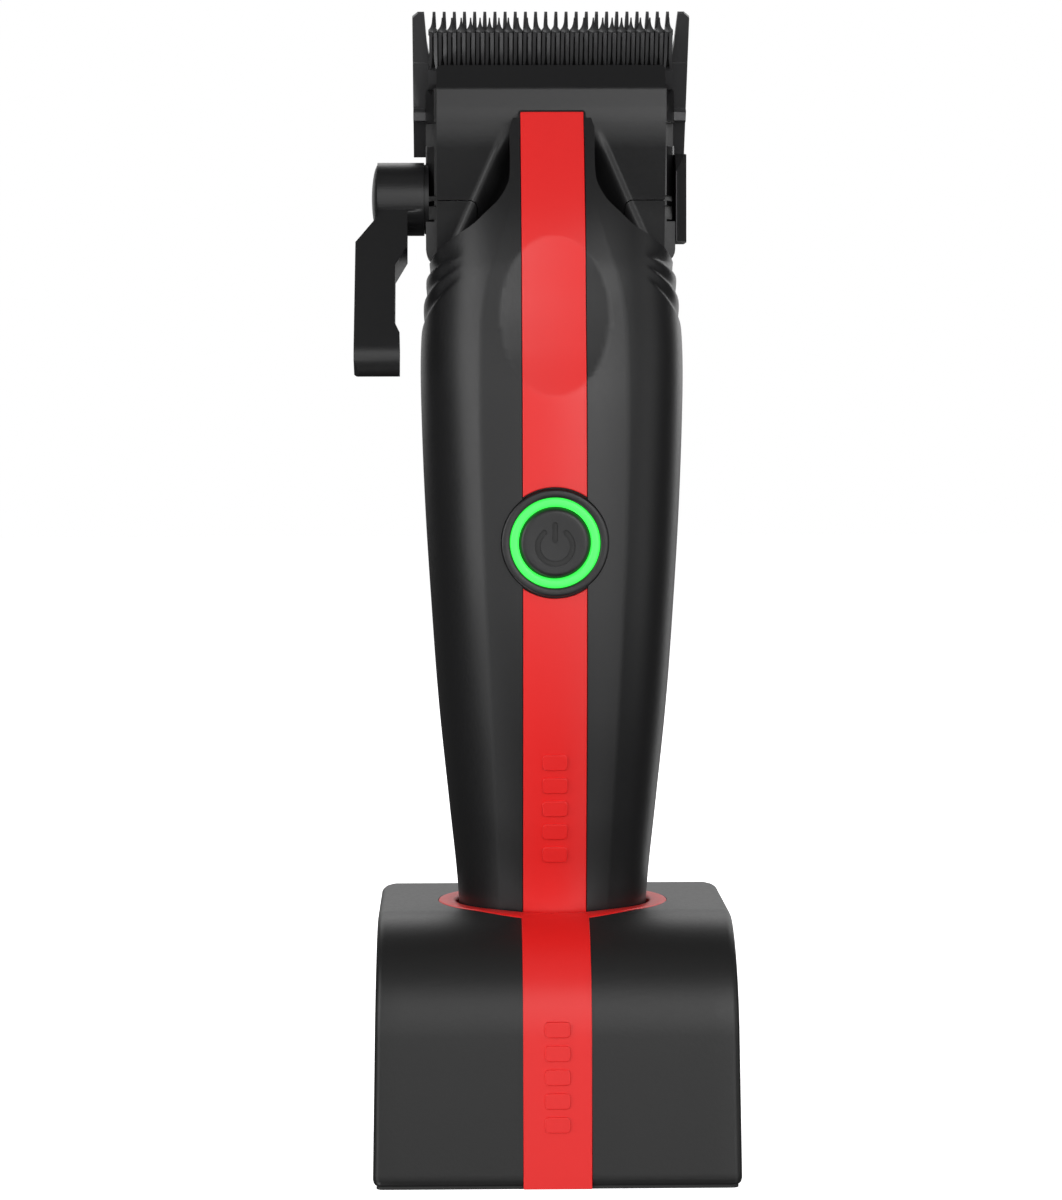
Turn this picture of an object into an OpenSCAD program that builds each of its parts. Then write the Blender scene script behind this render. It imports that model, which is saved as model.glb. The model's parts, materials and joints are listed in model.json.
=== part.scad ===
// Cordless hair clipper standing blade up in its charging stand.
// Frame: origin on the underside of the stand, below the clipper's long axis.
// +Z points up, -Y faces the thumb button, +X is the side of the retaining plate.

/* [Clipper body] */
// Height of the tail above the table when docked
tail_z = 22; // [20:0.5:26]
// Height where the housings meet the head chassis
shoulder_z = 151.3; // [150:0.1:151.5]
// Wall thickness of the moulded housings
wall = 2.2; // [1.8:0.1:2.4]
// Width of the coloured stripe down the front
stripe_w = 10.7; // [8:0.1:11]
// Height of the power button's centre
button_z = 105; // [100:1:110]
// Radius of the power button's cap
button_r = 5.8; // [5:0.1:5.9]
// How far the power button is pressed in
button_travel = 0.8; // [0.4:0.1:0.8]

/* [Blades] */
// Angle of the blade set from the vertical
blade_tilt = 35; // [30:1:38]
// Height of the blade tips
tip_z = 192.9; // [190:0.1:194]
// Depth position of the blade tips
tip_y = -4.6; // [-6:0.1:-4]
// Width of the fixed blade across its ears
blade_w = 46.4; // [46:0.1:47]
// Number of teeth between the ears of the fixed blade
fixed_teeth = 24; // [20:1:24]
// Number of teeth on the moving cutter
cutter_teeth = 26; // [22:1:26]
// Stroke of the cutter to each side of its middle
stroke = 1.1; // [0.8:0.1:1.1]

/* [Taper lever] */
// Height of the lever's pivot
lever_z = 162.5; // [161:0.5:163]
// Depth position of the lever's pivot
lever_y = 5.5; // [5:0.5:6]
// Forward lean of the lever's arm when the blades are closed
lever_lean = 33; // [25:1:35]
// Radius of the crank inside that moves the cutter carriage
crank_r = 3.3; // [3:0.1:3.5]

/* [Charging stand] */
// Width at the bottom
stand_w = 60.3; // [58:0.1:66]
// Depth in front of the clipper's axis
stand_front = 32; // [30:0.5:36]
// Depth behind the clipper's axis
stand_back = 25; // [24:0.5:30]
// Height of the top face
stand_h = 43.4; // [42:0.1:46]
// Radius of the big round along the front top edge
front_round = 18.5; // [14:0.5:20]
// Inner radius of the socket's trim ring
ring_in = 16.4; // [16.3:0.1:17]
// Outer radius of the socket's trim ring
ring_out = 19.4; // [18:0.1:21]

/* [Hidden] */
$fn = 64;
eps = 0.02;
groove = 0.9;
stripe_gap = 0.06;
motor_y = 2;
battery_y = 1;
board_back = -14.8;
housing_foot = 34;
neck_top = 175.2;
pin_x = 5;
floor_z = tail_z - 0.1;
head_w = 38.4;
chassis_w = 42.2;
bezel_r = 8.8;
led_out = 7.35;
led_in = 5.95;
face_y = -24.8;
stand_gap = 0.06;
// Clearance under the stripes, which bend a little differently from the groove floor
stripe_bed = 0.13;

// Body outline by height: z, half width, front y, back y, squareness, widest y
BODY = [
    [34, 15.6, -15.6, 15.6, 2.0, 0],
    [46, 16.1, -16.1, 16.1, 2.05, 0],
    [60, 17.5, -18.9, 16.6, 2.2, -0.6],
    [77, 19.2, -22.2, 17.0, 2.4, -1.3],
    [94, 20.4, -24.2, 17.2, 2.5, -2],
    [111, 21.4, -24.6, 17.3, 2.5, -2],
    [128, 22.0, -24.2, 17.0, 2.5, -2],
    [137, 22.0, -22.9, 16.6, 2.5, -2],
    [145, 21.4, -21.3, 16.1, 2.5, -2],
    [151.3, 20.7, -20.0, 15.6, 2.5, -2],
    [161, 19.8, -16.6, 15.0, 2.5, -2],
    [176, 19.0, -9.5, 14.0, 2.5, -2]
];
// Half width of the neck's outline by height, from the shoulder up to the tip
NECK = [[151.3, 20.7], [153.3, 19], [155.6, 15.9], [157.2, 13.4], [159.4, 11], [161.5, 8.9],
        [164.5, 7.3], [168, 7], [173.5, 7.0], [175.2, 6.5]];
// Side outline of the head cover's front face: y, z
LID = [[-2.6, 184.6], [-5.1, 180.6], [-5.9, 175.6], [-5.5, 172.4], [-2.4, 161.2], [-0.2, 151.8]];
LID_BY_Z = [for (i = [len(LID) - 1:-1:0]) [LID[i][1], LID[i][0]]];

// ---- helpers -------------------------------------------------------------------------

// Smooth curve through a table's rows, read in column c at height z
function span(t, z, i = 0) = (i >= len(t) - 2 || z <= t[i + 1][0]) ? i : span(t, z, i + 1);
function grade(t, i, c) =
    let (a = max(0, i - 1), b = min(len(t) - 1, i + 1))
    (t[b][c] - t[a][c]) / (t[b][0] - t[a][0]);
function curve(t, z, c) =
    let (i = span(t, z), h = t[i + 1][0] - t[i][0], s = (z - t[i][0]) / h)
    t[i][c] * (1 + 2 * s) * (1 - s) * (1 - s) + t[i + 1][c] * s * s * (3 - 2 * s)
    + grade(t, i, c) * h * s * (1 - s) * (1 - s) - grade(t, i + 1, c) * h * s * s * (1 - s);

// A thin-walled solid between two grids of points with equal row lengths
module skin(outer, inner) {
    n = len(outer);
    m = len(outer[0]);
    function o(i, j) = i * m + j;
    function q(i, j) = n * m + i * m + j;
    function two(a, b, c, d) = [[a, b, c], [a, c, d]];
    walls = [for (i = [0:n - 2]) for (j = [0:m - 2]) each concat(
        two(o(i, j), o(i, j + 1), o(i + 1, j + 1), o(i + 1, j)),
        two(q(i, j), q(i + 1, j), q(i + 1, j + 1), q(i, j + 1)))];
    sides = [for (i = [0:n - 2]) each concat(
        two(o(i, 0), o(i + 1, 0), q(i + 1, 0), q(i, 0)),
        two(q(i, m - 1), q(i + 1, m - 1), o(i + 1, m - 1), o(i, m - 1)))];
    caps = [for (j = [0:m - 2]) each concat(
        two(o(0, j + 1), o(0, j), q(0, j), q(0, j + 1)),
        two(o(n - 1, j), o(n - 1, j + 1), q(n - 1, j + 1), q(n - 1, j)))];
    points = [for (row = outer) each row];
    backs = [for (row = inner) each row];
    polyhedron(points = concat(points, backs), faces = concat(walls, sides, caps), convexity = 6);
}

// Shallow thumb dimple and the diagonal flutes on the shoulders, both as depths into the surface
dimple_z = 142;
dimple_depth = 1.5;
function dimple(x, z) = dimple_depth * max(0, 1 - pow(x / 9.1, 2) - pow((z - dimple_z) / 13.2, 2));
function flute(x, z) =
    let (a = abs(x), u = z - 0.85 * (a - 21) - 138.8)
    (a < 15 || u < -4 || u > 13) ? 0 : 0.55 * min(1, (a - 15) / 4) * max(0, sin(u * 90)) ;

// One point of the body's front face, at fraction f of the way round, pushed in by d
function front_point(z, w, yf, n, yp, angle, d) =
    let (x = w * sign(cos(angle)) * pow(abs(cos(angle)), 2 / n))
    [x, yp - (yp - yf) * pow(abs(sin(angle)), 2 / n) + d, z];
// The angle at which the front face reaches x
function angle_at(x, w, n) = acos(min(0.9999, pow(x / w, n / 2)));

// Ring of the front housing's outer face with the stripe's groove in it
function front_ring(z, t) =
    let (w = curve(BODY, z, 1) - t, yf = curve(BODY, z, 2) + t, n = curve(BODY, z, 4),
         yp = curve(BODY, z, 5), s = (z > shoulder_z ? curve(NECK, z, 1) : curve(BODY, z, 1)) - t,
         a0 = max(2, angle_at(min(s, w), w, n)),
         a1 = angle_at(min(stripe_w / 2 + stripe_gap, s - 0.4), w, n),
         g = t > 0 ? 0 : groove, a2 = a1 + 0.6, back = z > shoulder_z ? lid_y(z) - 0.2 : yp,
         side = w * pow(abs(cos(a0)), 2 / n))
    concat(
        [[side, back, z]],
        [for (k = [0:6]) shaped(front_point(z, w, yf, n, yp, a0 + (a1 - a0) * k / 6, 0), t)],
        [for (k = [0:6]) shaped(front_point(z, w, yf, n, yp, a2 + (180 - 2 * a2) * k / 6, g), t)],
        [for (k = [6:-1:0]) shaped(front_point(z, w, yf, n, yp, 180 - a0 - (a1 - a0) * k / 6, 0), t)],
        [[-side, back, z]]);
function lid_y(z) = lookup(z, LID_BY_Z);
// The dimple pushes both skins in, so the wall stays thick under the groove; flutes are outside only
function shaped(p, t) =
    [p[0] - (t > 0 ? 0 : sign(p[0]) * flute(p[0], p[2])), p[1] + dimple(p[0], p[2]), p[2]];
function rear_ring(z, t) =
    let (w = curve(BODY, z, 1) - t, yb = curve(BODY, z, 3) - t, n = curve(BODY, z, 4),
         yp = curve(BODY, z, 5))
    [for (k = [0:14]) let (p = front_point(z, w, -yb, n, -yp, 180 - k * 180 / 14, 0))
        [p[0], -p[1] + (k == 0 || k == 14 ? eps : 0), z]];
function stripe_ring(z, from_face) =
    let (w = curve(BODY, z, 1), yf = curve(BODY, z, 2), n = curve(BODY, z, 4), yp = curve(BODY, z, 5),
         half = stripe_w / 2 - stripe_gap - (from_face > 0 ? 0.18 : 0), a = angle_at(half, w, n))
    [for (k = [0:6]) let (p = front_point(z, w, yf, n, yp, a + (180 - 2 * a) * k / 6, from_face))
        [p[0], p[1] + dimple(p[0], z), z]];

module stripe_strip(heights) {
    skin([for (z = heights) stripe_ring(z, -0.1)],
         [for (z = heights) stripe_ring(z, groove - stripe_bed)]);
}

low_rings = [for (z = [housing_foot:6:130]) z];
shoulder_rings = [for (z = [131.5:1.65:150]) z];
neck_rings = [for (z = [153:1.85:neck_top - 1]) z];

// A body turned in profile around a vertical axis, or laid along X or Y
module along_x(x, y, z) { translate([x, y, z]) rotate([0, 90, 0]) children(); }
module along_y(x, y, z) { translate([x, y, z]) rotate([-90, 0, 0]) children(); }
module bar(low, high) { translate(low) cube(high - low); }
// Side outline drawn in y and z, given a width in X
module side_extrude(w, points) {
    translate([-w / 2, 0, 0]) rotate([90, 0, 90]) linear_extrude(height = w) polygon(points);
}
// Local frame of the blades: X across, +Z to the tips, -Y to the cutter's side
module blade_frame() { translate([0, tip_y, tip_z]) rotate([blade_tilt, 0, 0]) children(); }
module plate_outline(thickness, points) {
    rotate([90, 0, 0]) linear_extrude(height = thickness) polygon(points);
}
function comb(count, pitch, root, tip, root_w, tip_w) = [for (i = [0:count - 1])
    let (x = (i - (count - 1) / 2) * pitch)
    each [[x - root_w / 2, root], [x - tip_w / 2, tip], [x + tip_w / 2, tip], [x + root_w / 2, root]]];
function coil_points(r, wire, pitch, turns, sides, per_turn) =
    [for (i = [0:turns * per_turn]) let (a = i * 360 / per_turn) for (k = [0:sides - 1])
        let (b = k * 360 / sides, rr = r + wire * cos(b))
        [rr * cos(a), rr * sin(a), i * pitch / per_turn + wire * sin(b)]];
module coil(r, wire, pitch, turns) {
    sides = 6;
    per_turn = 12;
    n = turns * per_turn;
    faces = concat(
        [for (i = [0:n - 1]) for (k = [0:sides - 1])
            let (a = i * sides + k, b = i * sides + (k + 1) % sides)
            each [[a, a + sides, b + sides], [a, b + sides, b]]],
        [[for (k = [0:sides - 1]) k]], [[for (k = [sides - 1:-1:0]) n * sides + k]]);
    polyhedron(points = coil_points(r, wire, pitch, turns, sides, per_turn), faces = faces, convexity = 8);
}

// ---- clipper body --------------------------------------------------------------------

module front_housing() {
    heights = concat(low_rings, shoulder_rings, [shoulder_z], neck_rings, [neck_top]);
    color("#262626") difference() {
        skin([for (z = heights) front_ring(z, 0)], [for (z = heights) front_ring(z, wall)]);
        along_y(0, -30, button_z) cylinder(r = bezel_r + 0.05, h = 14);
    }
}
module rear_housing() {
    heights = concat(low_rings, shoulder_rings, [shoulder_z]);
    color("#222222") skin([for (z = heights) rear_ring(z, 0)], [for (z = heights) rear_ring(z, wall)]);
}
module upper_stripe() {
    heights = concat([for (z = [112:4.5:130]) z], [for (z = [131.5:3.3:153]) z],
                     [for (z = [155:3.5:172]) z], [neck_top + 1]);
    color("#e02020") difference() {
        stripe_strip(heights);
        along_y(0, -30, button_z) cylinder(r = bezel_r + 0.3, h = 20);
    }
}
module lower_stripe() {
    heights = [for (z = [38:5.5:99]) z];
    color("#e02020") difference() {
        stripe_strip(heights);
        along_y(0, -30, button_z) cylinder(r = bezel_r + 0.3, h = 20);
    }
}
module button_bezel() {
    color("#2a2a2a") along_y(0, 0, button_z) rotate_extrude() translate([0, face_y]) polygon([
        [led_out + 0.05, 0.15], [led_out + 0.3, 0], [bezel_r - 0.6, 0], [bezel_r, 0.6],
        [bezel_r, 4.2], [led_in, 4.2], [led_in, 3.9], [led_out + 0.05, 3.9]]);
}
module led_ring() {
    color("#40ff50") along_y(0, face_y + 0.05, button_z) difference() {
        cylinder(r = led_out, h = 3.8);
        translate([0, 0, -1]) cylinder(r = led_in, h = 6);
    }
}
module power_button() {
    // the stem ends one travel short of the switch's plunger
    stem = board_back - 5.4 - button_travel - face_y - 0.2;
    color("#2a2a2a") along_y(0, 0, button_z) rotate_extrude() translate([0, face_y + 0.1]) polygon([
        [0, 0.15], [button_r - 0.9, 0], [button_r - 0.3, 0.2], [button_r, 0.8], [button_r, 2.8],
        [1.8, 2.8], [1.8, stem], [0, stem]]);
}
module tact_switch() {
    color("#777777") union() {
        bar([-3, board_back - 4.2, button_z - 3], [3, board_back - 1.6 - eps, button_z + 3]);
        along_y(0, board_back - 5.4, button_z) cylinder(r = 1.6, h = 1.4);
    }
}
module main_board() {
    color("#0c5c38") union() {
        bar([-7.5, board_back - 1.6, 74], [7.5, board_back, 124]);
        bar([-6, board_back, 80], [-1, board_back + 1.2, 86]);
        bar([1, board_back, 88], [6, board_back + 1.4, 94]);
    }
}
module battery_cell() {
    color("#2f6fae") translate([0, battery_y, 38]) union() {
        cylinder(r = 9.2, h = 64);
        translate([0, 0, 64]) cylinder(r = 3, h = 1);
    }
}
module battery_cradle() {
    color("#3a3a3a") difference() {
        translate([0, battery_y, 36]) cylinder(r = 10.8, h = 68.6);
        translate([0, battery_y, 38 - eps]) cylinder(r = 9.26, h = 64.6 + 2 * eps);
        translate([0, battery_y, 60]) cylinder(r = 4, h = 60);
        bar([-12, -12, 42], [12, battery_y - 2, 98]);
        for (x = [-9, 9]) translate([x * 0.7, battery_y + 6, 30]) cylinder(r = 0.75, h = 7.6);
    }
}
module motor_can() {
    color("#9a9a9a") translate([0, motor_y, 0]) difference() {
        translate([0, 0, 109]) cylinder(r = 11, h = 27);
        translate([0, 0, 108]) cylinder(r = 9.6, h = 26.6);
        translate([0, 0, 130]) cylinder(r = 1.4, h = 10);
    }
}
module motor_end_cap() {
    color("#2f2f2f") translate([0, motor_y, 0]) difference() {
        translate([0, 0, 106.4]) cylinder(r = 11, h = 2.6);
        translate([0, 0, 107.4]) cylinder(r = 1.05, h = 4);
    }
}
module motor_bearing() {
    color("#c9a24a") translate([0, motor_y, 136]) difference() {
        cylinder(r = 3, h = 2.4);
        translate([0, 0, -1]) cylinder(r = 1.05, h = 5);
    }
}
module motor_mount() {
    color("#8d8d92") difference() {
        bar([-14, -11, 138.4], [14, 9.5, 140.5]);
        translate([0, motor_y, 137]) cylinder(r = 5.2, h = 5);
        for (x = [-7.5, 7.5]) translate([x, motor_y, 137]) cylinder(r = 1.1, h = 5);
        for (x = [-12, 12]) for (y = [-9, 7.5]) translate([x, y, 137]) cylinder(r = 1.1, h = 5);
    }
}
module motor_screws() {
    color("#b8b8b8") for (x = [-7.5, 7.5]) translate([x, motor_y, 136]) union() {
        cylinder(r = 1.05, h = 4.5);
        translate([0, 0, 4.5]) cylinder(r = 2, h = 1.2);
    }
}
module rotor_core() {
    color("#a5703a") translate([0, motor_y, 112]) difference() {
        cylinder(r = 8.8, h = 19);
        translate([0, 0, -1]) cylinder(r = 1, h = 30);
        for (a = [0:60:300]) rotate([0, 0, a]) translate([8.6, 0, -1]) cylinder(r = 1.3, h = 30);
    }
}
module motor_shaft() {
    color("#c0c0c0") translate([0, motor_y, 107.6]) cylinder(r = 1, h = 38.2);
}
module eccentric_cam() {
    color("#b0b0b4") translate([0, motor_y, 142]) difference() {
        union() {
            cylinder(r = 3.6, h = 4);
            translate([0, -stroke, 3]) cylinder(r = 0.9, h = 6.4);
            translate([0, 1.4, 0]) cylinder(r = 3.4, h = 2.2);
        }
        translate([0, 0, -1]) cylinder(r = 1, h = 4.8);
    }
}
module tail_cap() {
    color("#242424") difference() {
        rotate_extrude() polygon([[0, tail_z], [12.4, tail_z], [13.9, tail_z + 0.5], [14.9, tail_z + 1.5],
            [15.4, tail_z + 3], [15.55, housing_foot - eps], [0, housing_foot - eps]]);
        translate([0, 0, tail_z + 2.4]) cylinder(r = 13.4, h = 30);
        for (x = [-pin_x, pin_x]) translate([x, 0, tail_z - 1]) cylinder(r = 2, h = 5);
        for (x = [-9, 9]) translate([x * 0.7, battery_y + 6, tail_z - 1]) cylinder(r = 1.2, h = 6);
        for (x = [-9, 9]) translate([x * 0.7, battery_y + 6, tail_z - 1]) cylinder(r = 2.2, h = 2.2);
    }
}
module tail_screws() {
    color("#b8b8b8") for (x = [-9, 9]) translate([x * 0.7, battery_y + 6, tail_z + 0.1]) union() {
        cylinder(r = 2, h = 1);
        cylinder(r = 0.7, h = 15);
    }
}
module charge_contacts() {
    color("#d8b25a") for (x = [-pin_x, pin_x]) translate([x, 0, tail_z + 0.5]) union() {
        cylinder(r = 1.95, h = 1.9);
        translate([0, 0, 1.9 + eps]) cylinder(r = 2.6, h = 0.8);
    }
}

// ---- head ----------------------------------------------------------------------------

// Front outline of the chassis block, with rounded lower corners
function chassis_front(r = 2.4) =
    let (half = chassis_w / 2)
    concat([[half, 190], [-half, 190]],
        [for (a = [180:15:270]) [-half + r + r * cos(a), 151.4 + r + r * sin(a)]],
        [for (a = [270:15:360]) [half - r + r * cos(a), 151.4 + r + r * sin(a)]]);
module head_chassis() {
    blade_line = [[14, 166.3], [3.77, 180.9]];
    color("#1d1d1d") difference() {
        union() {
            intersection() {
                side_extrude(chassis_w, [[0.9, 151.4], [14, 151.4], blade_line[0], blade_line[1],
                                         [0.9, 180.9]]);
                translate([0, 20, 0]) plate_outline(24, chassis_front());
            }
            difference() {
                bar([-14, -11, 140.5 + eps], [14, 9.5, 151.4 + eps]);
                bar([-12, -9, 139], [12, 7.5, 153]);
            }
        }
        side_extrude(34, [[-5, 153.4], [12, 153.4], [12, 164.5], [5.5, 173.8], [5.5, 190], [-5, 190]]);
        bar([-12, -9, 150], [12, 7.5, 154]);
        // bore of the taper lever's shaft
        along_x(-22, lever_y, lever_z) cylinder(r = 2.05, h = 8);
        // cast pockets in the outer cheeks
        for (side = [-1, 1]) {
            bar([side * 21.1 - 1.2, 3.2, 171.4], [side * 21.1 + 1.2, 7.2, 175.4]);
            bar([side * 21.1 - 1.2, 2.0, 155.2], [side * 21.1 + 1.2, 11.5, 157.6]);
        }
        // room for the cutter's foot and its full width at the long taper setting
        blade_frame() bar([-14.6, -2.2, -20.2], [14.6, 0.1, 0]);
        blade_frame() bar([-23, -2.2, -14.5], [23, 0.1, 0]);
        blade_frame() for (x = [-9, 9]) translate([x, 1, -23]) rotate([90, 0, 0]) cylinder(r = 1.45, h = 6);
    }
}
module lid_solid(w, inset, low) {
    side_extrude(w, concat(
        [for (p = LID) if (p[1] > low) [p[0] + inset, p[1] - (p[1] > 184 ? inset * 0.3 : 0)]],
        [[lid_y(low) + inset, low], [0.6 + inset * 4, low], [0.6 + inset * 4, 180.4],
         [-1.4 + inset, 184.6 - inset * 0.3]]));
}
module head_cover() {
    color("#2b2b2b") difference() {
        union() {
            lid_solid(head_w, 0, 161.3);
            side_extrude(24.6, [[lid_y(156.5), 156.5], [lid_y(162), 162], [0.6, 162], [0.6, 156.5]]);
        }
        side_extrude(head_w - 3.2, [[-1.6, 184.8], [-3.6, 180.2], [-4.3, 175.5], [-3.9, 172.4],
            [-1.3, 162.6], [5, 162.6], [5, 184.8]]);
        side_extrude(22.6, [[lid_y(162) + 1.2, 163], [lid_y(156.5) + 1.2, 150], [5, 150], [5, 163]]);
    }
}
module head_corner_covers() {
    color("#2b2b2b") for (side = [-1, 1]) translate([side * 15.8, 0, 0]) difference() {
        side_extrude(6.8, [[lid_y(161.1), 161.1], [lid_y(152), 152], [0.8, 152], [0.8, 161.1]]);
        translate([-side * 1.2, 0, 0]) side_extrude(6.8, [[lid_y(162) + 1, 162], [lid_y(151) + 1, 151],
            [3, 151], [3, 162]]);
    }
}
module fixed_blade() {
    ear_in = 21.2;
    left = [[-blade_w / 2, -28], [-blade_w / 2, -0.9], [-blade_w / 2 + 0.9, 0], [-ear_in, 0], [-20.8, -6],
            [-20.4, -9]];
    right = [for (i = [len(left) - 1:-1:0]) [-left[i][0], left[i][1]]];
    color("#303030") blade_frame() difference() {
        union() {
            translate([0, 2.2, 0])
                plate_outline(2.18, concat(left, comb(fixed_teeth, 1.7, -9, 0, 1.2, 0.5), right));
            // ledges beside the chassis that a guard comb bears on
            for (side = [-1, 1]) bar([side * 22.2 - 1, -0.9, -20.5], [side * 22.2 + 1, 0.5, -18.3]);
        }
        // ground bevel that thins the teeth on the skin side
        translate([-30, 2.2, -9]) rotate([9.5, 0, 0]) cube([60, 6, 12]);
        for (x = [-9, 9]) translate([x, 3, -23]) rotate([90, 0, 0]) cylinder(r = 1.45, h = 6);
        for (x = [-9, 9]) translate([x, 3, -23]) rotate([90, 0, 0]) cylinder(r = 2.8, h = 2);
    }
}
module blade_screws() {
    color("#8a8a8a") blade_frame() for (x = [-9, 9]) translate([x, 2.1, -23]) rotate([90, 0, 0]) union() {
        cylinder(r = 2.6, h = 1.08);
        cylinder(r = 1.4, h = 4.4);
    }
}
module cutter_blade() {
    half = 20.6;
    left = [[-13, -18], [-13, -12.5], [-half, -12.5], [-half, -9.4]];
    right = [for (i = [len(left) - 1:-1:0]) [-left[i][0], left[i][1]]];
    teeth = [for (i = [0:cutter_teeth - 1]) let (x = (i - (cutter_teeth - 1) / 2) * 1.58)
        each [[x - 0.3, -9.4], [x - 0.62, -6.8], [x - 0.62, -3], [x - 0.08, -0.9], [x + 0.08, -0.9],
              [x + 0.62, -3], [x + 0.62, -6.8], [x + 0.3, -9.4]]];
    color("#383838") blade_frame() difference() {
        translate([0, -eps, 0]) plate_outline(1.78, concat(left, teeth, right));
        translate([-30, -1.8, -3.6]) rotate([-22, 0, 0]) translate([0, -6, 0]) cube([60, 6, 9]);
    }
}
module drive_fork() {
    color("#d9d9d2") difference() {
        union() {
            blade_frame() bar([-6, -6.4, -21.5], [6, -3.1, -16.5]);
            blade_frame() bar([-6, -3.3, -18.2], [6, -1.8, -16.5]);
            bar([-2.2, 0.9, 153.5], [2.2, 3.3, 173.6]);
            bar([-6, motor_y - 3.5, 147.6], [6, motor_y + 3.5, 155]);
        }
        blade_frame() along_x(-10, -4.4, -19) cylinder(r = 1.05, h = 20);
        bar([-3.2, motor_y - 5, 146], [3.2, motor_y + 5, 153.2]);
    }
}
module cutter_carriage() {
    leg_front = 0.75;
    color("#55585c") difference() {
        union() {
            blade_frame() for (x = [-14.5, 14.5]) bar([x - 1.9, -6, -24], [x + 1.9, -3, -17]);
            blade_frame() bar([-16.4, -5.4, -24], [16.4, -3.4, -22]);
            bar([-15.9, leg_front, 157], [-14.1, 5.8, 172]);
        }
        blade_frame() along_x(-20, -4.4, -19) cylinder(r = 1, h = 40);
        // slot that the lever's crank pin works in
        translate([-20, lever_y, lever_z]) rotate([blade_tilt, 0, 0])
            bar([0, -crank_r - 1.3, -1.3], [10, -crank_r + 2.2, 1.3]);
    }
}
module carriage_rail() {
    color("#c4c4c4") blade_frame() along_x(-16.4, -4.4, -19) cylinder(r = 1 - 0.001, h = 32.8);
}

// ---- taper lever ---------------------------------------------------------------------

module lever_frame() { translate([0, lever_y, lever_z]) rotate([-lever_lean, 0, 0]) children(); }
// Side outline of the lever's arm, drawn in y and z, with a round foot
function arm_side(r = 3.6, front = -3.8, back = 1.7, foot = -35.8) =
    let (heel = back - front - r)
    concat([[back, 8]],
        [for (a = [0:-15:-90]) [back - heel + heel * cos(a), foot + heel + heel * sin(a)]],
        [for (a = [255:-15:180]) [front + r + r * cos(a), foot + r + r * sin(a)]], [[front, 8]]);
module taper_lever() {
    color("#2e2e2e") difference() {
        union() {
            along_x(-29.3, lever_y, lever_z) cylinder(r = 6.2, h = 7.9);
            lever_frame() intersection() {
                translate([0, 2.2, 0]) plate_outline(6, [[-29.3, -3], [-29.3, -6.3], [-32.9, -11.5],
                    [-33, -34.6], [-31.9, -36.3], [-25.4, -36.3], [-25.4, -29.8], [-26.2, -27.8],
                    [-26.2, -16.2], [-24.2, -12.1], [-24.2, -3]]);
                translate([-28, 0, 0]) side_extrude(14, arm_side());
            }
        }
        along_x(-27, lever_y, lever_z) cylinder(r = 2, h = 10);
    }
}
module lever_cap() {
    color("#343434") along_x(0, lever_y, lever_z) rotate_extrude()
        polygon([[0, -30.3], [2.6, -30.15], [4.6, -29.85], [5.6, -29.5], [5.8, -29.3 - eps],
                 [0, -29.3 - eps]]);
}
module lever_shaft() {
    color("#b9b9b9") along_x(-26.9, lever_y, lever_z) cylinder(r = 2, h = 10);
}
module lever_crank() {
    color("#a8a8ac") union() {
        along_x(-16.9 + eps, lever_y, lever_z) cylinder(r = 4.8, h = 0.7);
        blade_pin = [lever_y - crank_r * cos(blade_tilt), lever_z - crank_r * sin(blade_tilt)];
        along_x(-16.5, blade_pin[0], blade_pin[1]) cylinder(r = 1.2, h = 2.6);
    }
}
module side_plate() {
    color("#2a2a2a") translate([22.15, 0, 0]) difference() {
        side_extrude(2, [[0.5, 155], [10.5, 155], [10.5, 167], [8, 170], [3, 170], [0.5, 167]]);
        along_x(-2, 5.5, lever_z) cylinder(r = 1.5, h = 4);
    }
}
module side_plate_screw() {
    color("#8a8a8a") along_x(21.2, 5.5, lever_z) cylinder(r = 1.45, h = 1.9);
}

// ---- charging stand ------------------------------------------------------------------

// Side outline of the stand, drawn in y and z and pulled in by d all round
function stand_outline(d) =
    let (r = front_round - d, cy = -stand_front + front_round, cz = stand_h - front_round, rb = 2.5)
    concat([[stand_back - d, -1], [stand_back - d, stand_h - rb]],
        [for (a = [15:15:75]) [stand_back - rb + (rb - d) * cos(a), stand_h - rb + (rb - d) * sin(a)]],
        [[stand_back - rb, stand_h - d]],
        [for (a = [90:5:180]) [cy + r * cos(a), cz + r * sin(a)]],
        [[-stand_front + d, -1]]);
module stand_plan(d) {
    w = stand_w / 2 - d;
    y0 = -stand_front + d;
    y1 = stand_back - d;
    hull() {
        for (side = [-1, 1]) {
            translate([side * (w - 1.2), y0 + 1.2]) circle(r = 1.2, $fn = 24);
            translate([side * (w - 8 + d), y1 - 8 + d]) circle(r = 8 - d, $fn = 48);
        }
    }
}
module stand_body(d, low) {
    intersection() {
        translate([0, 0, low])
            linear_extrude(height = stand_h - low, scale = [0.975, 1], slices = 1) stand_plan(d);
        side_extrude(stand_w + 10, stand_outline(d));
    }
}
module stand_band(half, d0, d1) {
    intersection() {
        difference() {
            side_extrude(half * 2, stand_outline(d0));
            side_extrude(half * 2 + 2, stand_outline(d1));
        }
        bar([-half, -stand_front - 1, 1.3], [half, -ring_out + 1.5, stand_h + 1]);
    }
}
module stand_shell() {
    color("#262626") difference() {
        stand_body(0, 1.2);
        stand_body(2.4, 1.1);
        stand_band(5.6 + stand_gap, -1, 0.9);
        translate([0, 0, stand_h - 1.2]) cylinder(r = ring_out + 0.05, h = 5);
        translate([0, 0, stand_h - 6]) cylinder(r = ring_in + 1.65, h = 8);
        bar([-5.1, stand_back - 4, 10.9], [5.1, stand_back + 1, 15.1]);
    }
}
module stand_stripe() {
    color("#e02020") difference() {
        stand_band(5.6 - stand_gap, -0.1, 0.88);
        translate([0, 0, stand_h - 3]) cylinder(r = ring_out + 0.06, h = 6);
    }
}
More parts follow.
